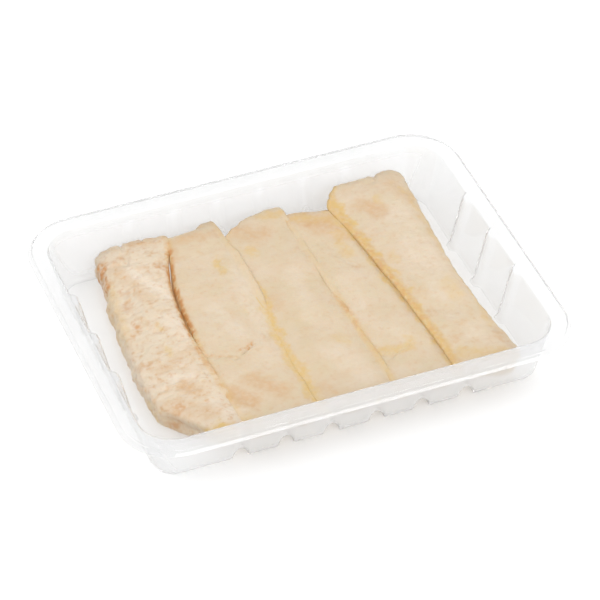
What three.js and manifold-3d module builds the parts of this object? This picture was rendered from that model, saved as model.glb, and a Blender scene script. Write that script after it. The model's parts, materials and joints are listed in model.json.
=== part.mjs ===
// Open tray of clear thin plastic with five strips of salt cod lying side by side.
// Millimetres, +Z up, +X along the tray's long side, +Y from the front wall to the back wall.
// The origin is the middle of the tray's outline, on the surface that its feet stand on.

import * as THREE from 'three';
import { mergeVertices } from 'three/addons/utils/BufferGeometryUtils.js';
import Module from 'manifold-3d';

// Tray: overall size and the formed sheet
const TRAY_LENGTH = 225;
const TRAY_WIDTH = 178;
const TRAY_HEIGHT = 29.5;
const CORNER_RADIUS = 26.7;
const SHEET = 0.5;

// Tray: the flat rim, its turned-down lip and the wall under it, as insets from the outline
const RIM_OUTER_INSET = 1.65;
const RIM_INNER_INSET = 9.9;
const LIP_DROP = 3.2;
const FOOT_INSET = 16;
const FOOT_RADIUS = 2.5;
const RIM_FOLD_RADIUS = 1.6;
const LIP_FOLD_RADIUS = 1.1;

// Tray: the channels under its floor and the flutes in its walls
const CHANNEL_COUNT = 6;
const CHANNEL_PITCH = 22.7;
const CHANNEL_WIDTH = 8.4;
const CHANNEL_HEIGHT = 6.05;
const CHANNEL_CROWN_RADIUS = 3.4;
const LONG_FLUTE = { halfWidth: 4.6, depth: 1.2, top: 26.4, shoulder: 5, tipSize: 0.35 };
const SHORT_FLUTE = { halfWidth: 4.8, depth: 2.7, pitch: 29, count: 3 };

// How far a cutting body reaches past the face that it opens
const CUT_MARGIN = 1;

// Fish: the gap around each strip, the half length over which its long edges are measured and
// the rounding of its ends. A smaller power makes a squarer section.
const GAP = 0.3;
const STRIP_REACH = 70;
const END_RADIUS = 4.6;
const SIDE_POWER = 0.42;
const TOP_POWER = 0.5;
const UNDERSIDE_POWER = 0.24;

// Fish: the low waves of the upper face, by height and by length over two pi
const LONG_WAVE = { height: 0.34, acrossLength: 5.3, alongLength: 17 };
const CROSS_WAVE = { height: 0.3, acrossLength: 9.7, alongLength: 6.1 };

// Fish: the long edges from the leftmost to the rightmost, each as its place across the tray
// at five even steps from the back to the front
const STRIP_EDGES = [
  [-77.4, -82, -85.8, -86.4, -84.8],
  [-41, -50.3, -54, -54.2, -52],
  [-15.6, -14.5, -15.6, -17.2, -17],
  [18, 19.3, 20, 21, 22.2],
  [40.5, 45.8, 49.3, 52, 53.5],
  [85, 82.8, 80.6, 81.6, 85.4],
];

// Fish: where the outer strips sag past the outermost channels, down to the tray's floor
const SAG_START = 62;
const SAG_END = 78;

// Fish: each strip's thickness, how much of the sag its upper face follows, and its back and
// front ends from left to right
const STRIPS = [
  {
    thickness: 12.2,
    slump: 0.6,
    back: [74.2, 72.4, 70.8, 71.4, 70.4, 69.2],
    front: [-45, -55, -66, -71.4, -72.2, -72.4],
  },
  { thickness: 12.0, slump: 0, back: [67.8, 67.2, 67, 68.2, 74.3], front: [-72.4, -72.6, -72.4] },
  { thickness: 11.6, slump: 0, back: [58.5, 64.5, 67.9, 69.9, 70.5], front: [-72.4, -72.5, -72.6] },
  { thickness: 11.4, slump: 0, back: [64, 63, 61.8, 59.6, 56.6], front: [-72.6, -72.4, -72.5] },
  {
    thickness: 13.2,
    slump: 0,
    back: [62, 70.6, 73.6, 73.2, 71.8, 74.8, 74.4],
    front: [-72.5, -72.4, -71.8],
  },
];

// Facets
const CORNER_STEPS = 9;
const FOLD_STEPS = 3;
const FLUTE_SIDES = 14;
const CROWN_STEPS = 4;
const STRIP_SIDES = 22;
const STRIP_STATIONS = 17;
const END_STEPS = 4;

// Colours
const CLEAR_PLASTIC = { color: 0xf3f5f4, roughness: 0.06, metalness: 0, transparent: true, opacity: 0.3 };
const COD_COLOURS = [0xe6cfb2, 0xead6b8, 0xe9d6ac, 0xe8d0a6, 0xead3a9];
const COD_ROUGHNESS = 0.55;

const WALL_LEAN = (FOOT_INSET - RIM_INNER_INSET + SHEET) / TRAY_HEIGHT;
const LEAN_ANGLE = Math.atan(WALL_LEAN);
const FISH_FLOOR = CHANNEL_HEIGHT + SHEET + GAP;

const wasm = await Module();
wasm.setup();

// Solids and meshes

function toSolid(geometry) {
  const bare = new THREE.BufferGeometry();
  bare.setAttribute('position', geometry.getAttribute('position').clone());
  if (geometry.index) bare.setIndex(geometry.index.clone());
  const merged = mergeVertices(bare, 1e-4);
  const vertProperties = new Float32Array(merged.getAttribute('position').array);
  const triVerts = new Uint32Array(merged.index.array);
  return new wasm.Manifold(new wasm.Mesh({ numProp: 3, vertProperties, triVerts }));
}

function toGeometry(solid) {
  const { vertProperties, triVerts } = solid.getMesh();
  const geometry = new THREE.BufferGeometry();
  geometry.setAttribute('position', new THREE.BufferAttribute(new Float32Array(vertProperties), 3));
  geometry.setIndex(new THREE.BufferAttribute(new Uint32Array(triVerts), 1));
  geometry.computeVertexNormals();
  return geometry;
}

// A closed body through rings of points, each ring with as many points as the next.
// The rings run counter-clockwise seen from the end they run towards.
function loft(rings) {
  const sides = rings[0].length;
  const positions = [];
  const indices = [];
  const addPoint = (point) => positions.push(point.x, point.y, point.z);
  const middle = (ring) => ring.reduce((sum, point) => sum.add(point), new THREE.Vector3()).divideScalar(sides);

  for (const ring of rings) ring.forEach(addPoint);
  addPoint(middle(rings[0]));
  addPoint(middle(rings.at(-1)));
  const firstCentre = rings.length * sides;
  const lastStart = (rings.length - 1) * sides;

  for (let side = 0; side < sides; side += 1) {
    const next = (side + 1) % sides;
    for (let start = 0; start < lastStart; start += sides) {
      const above = start + sides;
      indices.push(start + side, start + next, above + next);
      indices.push(start + side, above + next, above + side);
    }
    indices.push(firstCentre, next, side);
    indices.push(firstCentre + 1, lastStart + side, lastStart + next);
  }

  const geometry = new THREE.BufferGeometry();
  geometry.setAttribute('position', new THREE.Float32BufferAttribute(positions, 3));
  geometry.setIndex(indices);
  geometry.computeVertexNormals();
  return geometry;
}

// The tray's outline, drawn in by an inset, at one height
function outlineRing({ inset, z }) {
  const radius = CORNER_RADIUS - inset;
  const centreX = TRAY_LENGTH / 2 - CORNER_RADIUS;
  const centreY = TRAY_WIDTH / 2 - CORNER_RADIUS;
  const corners = [[1, 1], [-1, 1], [-1, -1], [1, -1]];
  return corners.flatMap(([signX, signY], quarter) =>
    Array.from({ length: CORNER_STEPS + 1 }, (_, step) => {
      const angle = (quarter + step / CORNER_STEPS) * (Math.PI / 2);
      return new THREE.Vector3(
        signX * centreX + radius * Math.cos(angle),
        signY * centreY + radius * Math.sin(angle),
        z,
      );
    }));
}

function outlineBody(profile) {
  return toSolid(loft(profile.map(outlineRing)));
}

// A round stretch of a profile, from one angle to another about a centre
function arc(centreInset, centreZ, radius, fromAngle, toAngle) {
  return Array.from({ length: FOLD_STEPS + 1 }, (_, step) => {
    const angle = fromAngle + ((toAngle - fromAngle) * step) / FOLD_STEPS;
    return { inset: centreInset - radius * Math.cos(angle), z: centreZ + radius * Math.sin(angle) };
  });
}

// The wall's profile from the floor to the rim, on a sheet face that lies this far inside the outer one
function wallProfile(depth, foldRadius) {
  const wallInset = (z) => FOOT_INSET - WALL_LEAN * z;
  const footCentre = wallInset(FOOT_RADIUS * (1 - Math.sin(LEAN_ANGLE))) + FOOT_RADIUS * Math.cos(LEAN_ANGLE);
  const foot = arc(footCentre, FOOT_RADIUS, FOOT_RADIUS - depth, -Math.PI / 2, -LEAN_ANGLE);

  const foldZ = TRAY_HEIGHT - RIM_FOLD_RADIUS;
  const touchZ = foldZ + RIM_FOLD_RADIUS * Math.sin(LEAN_ANGLE);
  const foldCentre = wallInset(touchZ) + SHEET / Math.cos(LEAN_ANGLE) - RIM_FOLD_RADIUS * Math.cos(LEAN_ANGLE);
  const fold = arc(foldCentre, foldZ, foldRadius, Math.PI - LEAN_ANGLE, Math.PI / 2);
  return [...foot, ...fold];
}

// Tray

function rimAndLip() {
  const lipBottom = TRAY_HEIGHT - LIP_DROP;
  const foldInset = RIM_OUTER_INSET + LIP_FOLD_RADIUS;
  const foldZ = TRAY_HEIGHT - LIP_FOLD_RADIUS;
  const outside = outlineBody([
    { inset: 0, z: lipBottom },
    ...arc(foldInset, foldZ, LIP_FOLD_RADIUS, 0, Math.PI / 2),
  ]);
  const flare = (RIM_OUTER_INSET / (foldZ - lipBottom)) * SHEET;
  const inside = outlineBody([
    { inset: SHEET - flare, z: lipBottom - SHEET },
    ...arc(foldInset, foldZ, LIP_FOLD_RADIUS - SHEET, 0, Math.PI / 2),
  ]);
  return outside.subtract(inside);
}

function outerWall() {
  const profile = wallProfile(0, RIM_FOLD_RADIUS - SHEET);
  return outlineBody([...profile, { inset: profile.at(-1).inset, z: TRAY_HEIGHT }]);
}

function cavity() {
  const profile = wallProfile(SHEET, RIM_FOLD_RADIUS);
  return outlineBody([...profile, { inset: profile.at(-1).inset, z: TRAY_HEIGHT + CUT_MARGIN }]);
}

// A channel with a round crown that runs under the floor from wall to wall
function channel(x, growth) {
  const halfWidth = CHANNEL_WIDTH / 2 + growth;
  const crownRadius = CHANNEL_CROWN_RADIUS + growth;
  const crownZ = CHANNEL_HEIGHT - CHANNEL_CROWN_RADIUS;
  const outline = new THREE.Shape();
  outline.moveTo(-halfWidth, -CUT_MARGIN);
  outline.lineTo(halfWidth, -CUT_MARGIN);
  outline.lineTo(halfWidth, 0);
  for (let step = 0; step <= 2 * CROWN_STEPS; step += 1) {
    const angle = (Math.PI * step) / (2 * CROWN_STEPS);
    outline.lineTo(crownRadius * Math.cos(angle), crownZ + crownRadius * Math.sin(angle));
  }
  outline.lineTo(-halfWidth, 0);
  const geometry = new THREE.ExtrudeGeometry(outline, { depth: TRAY_WIDTH, bevelEnabled: false });
  geometry.rotateX(Math.PI / 2);
  geometry.translate(x, TRAY_WIDTH / 2, 0);
  return toSolid(geometry);
}

// A column that leans with the wall. Across the wall it lies along one of the tray's sides.
function flute({ along, side, place, halfWidth, depth, growth, heights }) {
  const halfSpan = (along === 'x' ? TRAY_WIDTH : TRAY_LENGTH) / 2;
  const rings = heights.map(({ z, size }) => {
    const wall = halfSpan - FOOT_INSET + WALL_LEAN * z;
    const middle = wall + ((depth + growth) * (1 - size)) / 2;
    return Array.from({ length: FLUTE_SIDES }, (_, step) => {
      const angle = (2 * Math.PI * step) / FLUTE_SIDES;
      const sideways = place + (halfWidth * size + growth) * Math.cos(angle);
      const outwards = middle + (depth * size + growth) * Math.sin(angle);
      return along === 'x'
        ? new THREE.Vector3(sideways, side * outwards, z)
        : new THREE.Vector3(side * outwards, sideways, z);
    });
  });
  const turned = (along === 'x') === (side > 0) ? rings : rings.map((ring) => ring.toReversed());
  return toSolid(loft(turned));
}

function longWallFlute(x, side, growth) {
  const { halfWidth, depth, top, shoulder, tipSize } = LONG_FLUTE;
  const heights = [
    { z: -CUT_MARGIN, size: 1 },
    { z: top - shoulder, size: 1 },
    { z: top + growth, size: tipSize },
  ];
  return flute({ along: 'x', side, place: x, halfWidth, depth, growth, heights });
}

function shortWallFlute(y, side, growth) {
  const { halfWidth, depth } = SHORT_FLUTE;
  const top = growth > 0 ? TRAY_HEIGHT + 2 * CUT_MARGIN : TRAY_HEIGHT - SHEET;
  const heights = [{ z: -CUT_MARGIN, size: 1 }, { z: top, size: 1 }];
  return flute({ along: 'y', side, place: y, halfWidth, depth, growth, heights });
}

// Every channel and flute, either as the hollow outside the sheet or as the rib inside it
function channelsAndFlutes(growth) {
  const bodies = [];
  for (let index = 0; index < CHANNEL_COUNT; index += 1) {
    const x = (index - (CHANNEL_COUNT - 1) / 2) * CHANNEL_PITCH;
    bodies.push(channel(x, growth));
    for (const side of [-1, 1]) bodies.push(longWallFlute(x, side, growth));
  }
  for (let index = 0; index < SHORT_FLUTE.count; index += 1) {
    const y = (index - (SHORT_FLUTE.count - 1) / 2) * SHORT_FLUTE.pitch;
    for (const side of [-1, 1]) bodies.push(shortWallFlute(y, side, growth));
  }
  return bodies.reduce((joined, body) => joined.add(body));
}

function makeTray() {
  const outside = rimAndLip().add(outerWall()).subtract(channelsAndFlutes(0));
  const inside = cavity().subtract(channelsAndFlutes(SHEET));
  const tray = new THREE.Mesh(
    toGeometry(outside.subtract(inside)),
    new THREE.MeshStandardMaterial(CLEAR_PLASTIC),
  );
  tray.name = 'tray';
  return tray;
}

// Fish

// A smooth curve through even steps, read at a fraction of its length
function through(values, fraction) {
  const last = values.length - 1;
  const span = Math.min(Math.floor(fraction * last), last - 1);
  const t = fraction * last - span;
  const at = (index) => values[THREE.MathUtils.clamp(index, 0, last)];
  const slopeIn = (at(span + 1) - at(span - 1)) / 2;
  const slopeOut = (at(span + 2) - at(span)) / 2;
  const rise = at(span + 1) - at(span);
  return at(span) + slopeIn * t + (3 * rise - 2 * slopeIn - slopeOut) * t ** 2
    + (slopeIn + slopeOut - 2 * rise) * t ** 3;
}

// The low waves of the fish's upper face, out of step from one strip to the next
function relief(x, y, strip) {
  const along = Math.sin(x / LONG_WAVE.acrossLength + 2 * strip) * Math.cos(y / LONG_WAVE.alongLength + strip);
  const cross = Math.sin(y / CROSS_WAVE.alongLength + x / CROSS_WAVE.acrossLength + strip);
  return LONG_WAVE.height * along + CROSS_WAVE.height * cross;
}

// Distances from a strip's end to its rings, and how far each ring is drawn in
function stations() {
  const end = Array.from({ length: END_STEPS }, (_, step) => {
    const angle = (Math.PI / 2) * (step / END_STEPS);
    return { distance: END_RADIUS * (1 - Math.cos(angle)), inset: END_RADIUS * (1 - Math.sin(angle)) };
  });
  const rings = end.map(({ distance, inset }) => ({ fromBack: distance, fraction: 0, inset }));
  for (let step = 0; step <= STRIP_STATIONS; step += 1) {
    const fraction = step / STRIP_STATIONS;
    rings.push({ fromBack: END_RADIUS * (1 - 2 * fraction), fraction, inset: 0 });
  }
  for (const { distance, inset } of end.toReversed()) rings.push({ fromBack: -distance, fraction: 1, inset });
  return rings;
}

function makeStrip(index) {
  const { thickness, slump, back, front } = STRIPS[index];
  const halfHeight = thickness / 2;
  const middleZ = FISH_FLOOR + halfHeight;
  const power = (value, exponent) => Math.sign(value) * Math.abs(value) ** exponent;

  const rings = stations().map(({ fromBack, fraction, inset }) =>
    Array.from({ length: STRIP_SIDES }, (_, step) => {
      const angle = (2 * Math.PI * (step + 0.5)) / STRIP_SIDES;
      const across = power(Math.cos(angle), SIDE_POWER);
      const up = power(Math.sin(angle), Math.sin(angle) > 0 ? TOP_POWER : UNDERSIDE_POWER);
      const height = up * (halfHeight - inset);

      const share = (across + 1) / 2;
      const lean = WALL_LEAN * (1 - 2 * fraction);
      const backY = through(back, share);
      const frontY = through(front, share);
      const y = backY + (frontY - backY) * fraction - fromBack + lean * height;

      const alongEdge = THREE.MathUtils.clamp((STRIP_REACH - y) / (2 * STRIP_REACH), 0, 1);
      const left = through(STRIP_EDGES[index], alongEdge) + GAP / 2 + inset;
      const right = through(STRIP_EDGES[index + 1], alongEdge) - GAP / 2 - inset;
      const x = left + (right - left) * share;
      const bump = up > 0 ? up * relief(x, y, index) : 0;
      const sag = CHANNEL_HEIGHT * THREE.MathUtils.smoothstep(Math.abs(x), SAG_START, SAG_END);
      const drop = sag * THREE.MathUtils.lerp(slump, 1, (1 - up) / 2);
      return new THREE.Vector3(x, y - lean * drop, middleZ + height + bump - drop);
    }));

  const strip = new THREE.Mesh(
    loft(rings),
    new THREE.MeshStandardMaterial({ color: COD_COLOURS[index], roughness: COD_ROUGHNESS, metalness: 0 }),
  );
  strip.name = `cod_strip_${index + 1}`;
  return strip;
}

const tray = makeTray();
const strips = STRIPS.map((_, index) => makeStrip(index));

const group = new THREE.Group();
group.name = 'tray_of_cod_strips';
group.add(tray, ...strips);

export default group;
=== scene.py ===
"""Five strips of salt cod, side by side in an open tray of clear thin plastic.

Metres, +Z up, +X along the tray's long side, +Y from the front wall to the back wall.
The origin is the middle of the tray's outline, on the surface that its feet stand on.
"""

import json
import math
from collections import namedtuple
from contextlib import contextmanager

import bmesh
import bpy
import numpy as np
from bpy.props import FloatProperty, FloatVectorProperty, IntProperty, PointerProperty
from bpy.types import Operator, Panel, PropertyGroup
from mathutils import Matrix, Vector, noise

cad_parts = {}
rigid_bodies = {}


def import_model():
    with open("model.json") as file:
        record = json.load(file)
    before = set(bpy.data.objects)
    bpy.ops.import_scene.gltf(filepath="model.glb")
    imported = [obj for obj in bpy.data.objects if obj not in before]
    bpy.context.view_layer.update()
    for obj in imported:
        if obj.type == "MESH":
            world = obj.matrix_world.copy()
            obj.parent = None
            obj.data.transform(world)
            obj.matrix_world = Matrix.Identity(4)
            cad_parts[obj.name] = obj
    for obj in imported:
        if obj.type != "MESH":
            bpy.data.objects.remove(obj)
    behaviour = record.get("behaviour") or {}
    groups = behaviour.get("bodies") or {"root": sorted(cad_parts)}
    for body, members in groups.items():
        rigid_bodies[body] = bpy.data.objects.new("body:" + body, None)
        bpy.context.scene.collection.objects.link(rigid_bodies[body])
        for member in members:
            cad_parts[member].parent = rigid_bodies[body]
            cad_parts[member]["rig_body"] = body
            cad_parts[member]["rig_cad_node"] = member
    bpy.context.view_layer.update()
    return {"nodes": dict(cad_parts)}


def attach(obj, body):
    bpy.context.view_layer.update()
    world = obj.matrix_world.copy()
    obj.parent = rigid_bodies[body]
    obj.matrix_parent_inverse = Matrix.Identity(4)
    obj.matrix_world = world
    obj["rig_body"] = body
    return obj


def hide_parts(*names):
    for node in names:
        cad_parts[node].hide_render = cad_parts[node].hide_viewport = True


bl_info = {
    "name": "Salt cod tray",
    "version": (1, 0, 0),
    "blender": (4, 5, 0),
    "location": "View3D > Sidebar > Salt cod",
    "description": "Builds a clear plastic tray with five strips of salt cod",
    "category": "Add Mesh",
}

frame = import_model()

# A millimetre, a distance at which two places are one (m), and the digits that a place is rounded to
MM = 0.001
TOUCH = 1e-6
PLACE_DIGITS = 7

# Tray: folds, as radii on the sheet's underside, and how far outside the wall's top its fold begins
LIP_FOLD_RADIUS = 0.0006
RIM_FOLD_RADIUS = 0.0011
RIM_FOLD_REACH = 0.0006
FOOT_RADIUS = 0.0025

# Tray: below this height the sheet is foot or floor, and above it wall
FOOT_TOP = 0.99 * FOOT_RADIUS

# Tray: how much of the foot's fold is left at a channel's mouth
MOUTH_TIGHTNESS = 0.35

# Tray: the sharpest fold that is still shaded smooth, in degrees
SMOOTH_ANGLE = 38

# Tray: rows of the sheet between its folds
LIP_FOLD_STEPS = 4
RIM_FOLD_STEPS = 4
FOOT_STEPS = 5
CORNER_SEGMENTS = 16
RIM_ROW_INSETS = (0.0045, 0.0066)
WALL_ROW_HEIGHTS = (0.0264, 0.0250, 0.0232, 0.0214, 0.0185, 0.0155, 0.0125, 0.0095, 0.0070, 0.0048)
FLOOR_ROW_STEPS = (0.0035, 0.0028)

# Tray: the section of a channel, with angles round its crown in degrees, and of the flutes
CHANNEL_FILLET = 0.0009
FILLET_STEPS = 4
SLOPE_STEPS = 3
CROWN_ANGLES = (12, 24, 36, 48, 60, 75, 90)
LONG_FLUTE_TOP = 0.0264
LONG_FLUTE_SHOULDER = 0.005
SHORT_FLUTE_ROWS = (0.0, 0.0008, 0.0016, 0.0024, 0.0029, 0.0034, 0.0039, 0.0044, 0.0048)
SHORT_FLUTE_FLAT = 0.0018

# Strips: the even mesh that the flesh is shaped from
VOXEL = 0.00075
SMOOTH_FACTOR = 0.5
SMOOTH_ROUNDS = 8
CORNER_ROUNDS = 180

# Strips: the worn front corner of the first, as start x and y, end x and y, half width (mm)
WORN_CORNER = (-86, -58, -68, -74, 15)

# Strips: how ragged each is, from left to right
RAGGED = (1.0, 0.42, 0.32, 0.42, 0.45)

# Strips: the part of a normal that points up, to a free side, to the left or to a neighbour,
# from where it begins to count to where it counts in full
UPWARD = (0.2, 0.8)
TO_FREE_SIDE = (0.3, 0.8)
LEFTWARD = (0.1, 0.6)
TO_NEIGHBOUR = (0.25, 0.75)

# Strips: lumps by their sizes (m), the shares of the finer ones, and what is left of all on the sides
LUMP_SIZES = (0.014, 0.005, 0.0022)
MIDDLING_LUMPS = 0.25
RAGGED_MIDDLING_LUMPS = 0.4
RAGGED_FINE_LUMPS = 0.3
SIDE_LUMPS = 0.35

# Strips: tatters by their sizes (m), the share of the finer ones, and what the least ragged strip has
TATTER_SIZES = (0.0065, 0.0024)
TATTER_STRETCH = (1, 1, 0.4)
FINE_TATTER = 0.55
LEAST_TATTER = 0.45

# Strips: how dents and stains wander, by the sizes of the waves and their reach (m)
WANDER_SIZES = (0.006, 0.002)
FINE_WANDER = 0.5
DENT_WANDER = 0.0018
STAIN_WANDER = 0.0026

# Strips: flakes as steps in two fields of noise, by size (m) and number of steps, where a step's edge
# begins, and how much the surface falls from one edge to the next
FLAKE_SIZES = (0.011, 0.0032)
FLAKE_LEVELS = (2.6, 0.9)
FLAKE_STRETCH = (1, 0.7, 0.5)
FLAKE_EDGE = 0.62
FLAKE_FALL = 0.5

# Strips: seeds of the noise, as a step from strip to strip, and how far a seed moves the noise
SHAPE_SEED = 3.7
STAIN_SEED = 5.3
SEED_OFFSET = 7.31

# Strips: the filled-out top edges, and how much more of them stands against a neighbour
EDGE_SHARPNESS = 1.5
PRESSED_EDGE = 2.1

# Strips: from where to where these act (m): notches, from the back end; the lean of the front ends,
# along the strip and by height; the sag of the underside, from a channel's crown and by height
NOTCH_REACH = (-0.009, -0.002)
FRONT_END = (0.060, 0.072)
LEANING_HEIGHTS = (0.007, 0.016)
HANGING = (0.0032, 0.0095)
SAG_HEIGHTS = (0.0075, 0.0135)

# Strips: where a mark's or a dent's edge fades, as shares of its half width
LINE_FADE = (0.3, 1.5)

# Strips: the tints in the order of the channels of the attribute that holds stains and painted seam
# shade
TINTS = ("pale", "peach", "ochre", "rust")

# Strips: tinted places of each, from left to right, as start x and y, end x and y, half width (mm),
# strength. The ochre lines that follow the seams are partly yellowed flesh and partly painted shade of
# the grooves beside them.
MARKS = (
    {
        "pale": (
            (-67, 51, -56, 27, 3.0, 1.0), (-60, 12, -57, -8, 4.0, 0.6),
            (-74, -27, -66, -31, 3.5, 0.8), (-62, -52, -56, -60, 3.5, 0.5),
            (-88, 0, -90, -40, 3.0, 0.4),
        ),
        "peach": (
            (-72, 56, -66, 30, 3.5, 0.4), (-70, -34, -66, -40, 4.0, 0.8),
            (-60, 69, -49, 69, 3.0, 0.7), (-76, -20, -58, -14, 4.0, 0.4),
            (-80, -44, -66, -56, 6.0, 0.45),
        ),
        "ochre": (
            (-79, 48, -83, 10, 2.6, 0.35), (-67, 9, -66, 6, 1.8, 0.5),
            (-69, -8, -69, -11, 2.0, 0.5), (-88, -22, -89, -52, 2.0, 0.55),
            (-85, -62, -60, -69, 3.0, 1.0), (-86, -52, -80, -62, 2.4, 0.6),
        ),
        "rust": (
            (-77, 64, -80, 50, 2.4, 0.85), (-73, 61, -68, 61, 1.4, 0.4),
            (-76, 41, -73, 39, 1.6, 0.35), (-74, 31, -76, 25, 1.8, 0.35),
            (-76, 17, -76, 14, 1.9, 0.6), (-69, 38, -69, 36, 1.2, 0.4), (-80, 11, -81, 8, 1.5, 0.4),
            (-83, -12, -83, -15, 2.2, 0.35), (-79, -45, -77, -49, 2.0, 0.45),
            (-53, 49, -50, 46, 2.0, 0.6),
        ),
    },
    {
        "pale": (
            (-18, 30, -21, -12, 5.0, 0.35), (-56, -57, -51, -62, 2.4, 0.7),
            (-38, 10, -34, -12, 4.0, 0.35),
        ),
        "peach": (
            (-43, 58, -44, 50, 3.5, 0.5), (-37, 62, -19, 62, 3.5, 0.7),
            (-39, -44, -31, -56, 5.5, 0.9), (-54, -44, -45, -58, 4.5, 1.0),
        ),
        "ochre": (
            (-24, 42, -26, 34, 2.2, 0.7), (-24, 4, -24, 1, 2.0, 0.3),
            (-56, -64, -48, -70, 3.0, 0.5), (-17, 2, -18.5, -35, 1.8, 0.6),
            (-18.5, -35, -18.5, -72, 2.0, 0.7),
        ),
        "rust": (
            (-32, -22, -36, -25, 1.6, 0.8), (-40, -28, -52, -20, 1.2, 0.35),
            (-23, -15, -24, -19, 1.3, 0.3),
        ),
    },
    {
        "pale": (
            (6, 20, 2, -12, 4.5, 0.3), (2, -40, 12, -60, 6.0, 0.3),
        ),
        "peach": (
            (-12, 62, 3, 52, 6.0, 0.75), (-9, 9, -9, 1, 4.0, 0.4), (-11, -60, -8, -64, 3.5, 0.6),
        ),
        "ochre": (
            (-7, 44, -7, 42, 3.5, 0.6), (8, 66, 16, 65, 2.5, 0.6), (-13, 22, -17, -32, 2.4, 0.85),
            (-17, -32, -16, -72, 3.0, 0.9), (9, -31, 11, -35, 3.0, 0.35),
        ),
    },
    {
        "pale": (
            (37, -35, 39, -41, 4.5, 0.3), (27, 6, 28, -12, 5.5, 0.25),
        ),
        "peach": (
            (22, 62, 42, 40, 8.0, 0.8),
        ),
        "ochre": (
            (24, 58, 39, 49, 3.5, 0.6), (37, 40, 37, 24, 3.0, 0.5), (20, -16, 19, -26, 1.8, 0.6),
            (19, -46, 39, -49, 3.0, 0.6), (39, -43, 39, -46, 2.4, 0.5),
            (39, 66, 44.5, 33, 2.6, 0.85), (44.5, 33, 51, -35, 2.2, 0.8),
            (51, -35, 52, -70, 2.0, 0.8),
        ),
        "rust": (
            (27, 52, 37, 48, 3.0, 0.16), (28, 37, 30, 34, 2.2, 0.22), (36, 15, 37, 12, 2.0, 0.22),
            (19, -7, 19, -10, 1.6, 0.5),
        ),
    },
    {
        "pale": (
            (70, 42, 68, -22, 8.0, 0.4), (70, -50, 70, -54, 4.0, 0.35),
        ),
        "peach": (
            (56, 54, 62, 46, 5.0, 0.8), (76, 64, 80, 50, 4.0, 0.5),
        ),
        "ochre": (
            (44, 64, 51, -12, 2.3, 1.0), (51, -12, 53, -66, 2.2, 0.9), (65, 55, 65, 52, 2.6, 0.5),
            (55, 13, 55, 10, 2.6, 0.4), (72, -14, 72, -25, 4.0, 0.4), (58, -64, 82, -72, 4.0, 0.5),
            (81, 60, 80, -50, 2.0, 0.4),
        ),
        "rust": (
            (56, -28, 57, -33, 2.4, 0.22), (60, -53, 63, -53, 3.0, 0.2),
            (80, -55, 81, -63, 2.4, 0.22),
        ),
    },
)

# Strips: dents as strip, start x and y, end x and y, half width, depth (mm)
DENTS = (
    (1, -64, 71, -66, 56, 1.2, 0.7), (1, -78, 60, -66, 57, 1.0, 0.5), (1, -77, 38, -66, 41, 1.0, 0.45),
    (1, -67, 50, -57, 26, 1.1, 0.35), (1, -80, 14, -68, 4, 1.2, 0.4), (1, -82, -30, -64, -40, 1.0, 0.35),
    (2, -31, -21, -36, -25, 0.8, 0.8), (2, -36, -25, -41, -28, 0.8, 0.5),
    (2, -41, -28, -53, -20, 0.8, 0.35), (2, -53, -46, -47, -58, 2.2, 0.6),
    (2, -24, 42, -26, 34, 0.8, 0.5),
    (4, 19, -46, 28, -52, 1.0, 0.4), (4, 28, -52, 39, -48, 1.0, 0.4), (4, 27, 37, 37, 12, 2.5, 0.3),
    (5, 70, 76, 69, 68, 1.3, 0.5), (5, 56, -28, 66, -34, 2.4, 0.3),
)

# Strips: notches in the back ends as strip, x, half width, depth (mm)
NOTCHES = (
    (1, -64, 1.8, 1.6), (1, -71, 2.0, 0.8), (1, -53, 1.8, 0.9), (2, -38, 1.6, 0.8), (5, 70.5, 2.4, 1.4),
)

# Seams between the strips, from the back to the front, as y (mm), how closed, how ochre, how rust.
# The ochre and rust go on the faces towards the neighbour: partly yellowed and stained flesh, partly
# painted shade in the crevice.
# Less than 0 is an open crevice.
SEAM_CLOSED, SEAM_OCHRE_AND_SHADE, SEAM_RUST_AND_SHADE = 1, 2, 3
SEAMS = (
    ((75, 0.9, 0.3, 0.0), (62, 0.6, 0.5, 0.4), (56, -0.2, 0.5, 1.0), (30, -0.45, 0.5, 1.0),
     (0, -0.35, 0.6, 1.0), (-24, 0.5, 0.5, 0.3), (-74, 0.9, 0.3, 0.0)),
    ((75, 0.2, 0.3, 0.0), (52, 0.5, 0.4, 0.0), (45, 1.2, 0.25, 0.0), (10, 1.2, 0.3, 0.0),
     (0, 0.6, 0.8, 0.0), (-40, 0.2, 1.0, 0.0), (-74, 0.3, 1.0, 0.0)),
    ((75, 0.5, 0.4, 0.0), (60, 0.75, 0.2, 0.0), (2, 0.75, 0.2, 0.0), (-8, 0.6, 0.6, 0.5),
     (-30, 0.7, 0.6, 0.2), (-74, 0.8, 0.5, 0.0)),
    ((75, 0.6, 1.0, 0.0), (60, 1.0, 1.0, 0.1), (20, 1.1, 1.0, 0.35), (-20, 1.1, 1.0, 0.3),
     (-74, 1.0, 1.0, 0.2)),
)

# Plastic: where the drawn part of the long walls begins and is full, from the middle and by height (m)
LONG_WALL = (0.068, 0.074)
WALL_TOP = (0.0285, 0.024)

# Plastic: the share of the haze that scatters light onwards, in the floor and in the long walls
FORWARD_HAZE = (0.35, 0.1)

# Finishes: noise by scale and detail, the range of it that counts, and the least and most that it gives
Pattern = namedtuple("Pattern", "scale detail low high least most", defaults=(0.0, 1.0))
SHEET_CLOUDS = Pattern(70.0, 3.0, 0.35, 0.65)
BROAD_TINT = Pattern(60.0, 4.0, 0.36, 0.66)
STREAKS = Pattern(120.0, 6.0, 0.46, 0.75, 0.0, 0.4)
BLOTCHES = Pattern(150.0, 4.0, 0.5, 0.72, 0.0, 0.3)
MOTTLES = Pattern(210.0, 6.0, 0.48, 0.68, 0.0, 0.6)
SPECKS = Pattern(420.0, 3.0, 0.56, 0.74)
STAIN_GRAIN = Pattern(380.0, 6.0, 0.32, 0.66, 0.5, 1.2)
STAIN_PATCHES = Pattern(310.0, 5.0, 0.4, 0.6, 0.1, 1.3)

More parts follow.
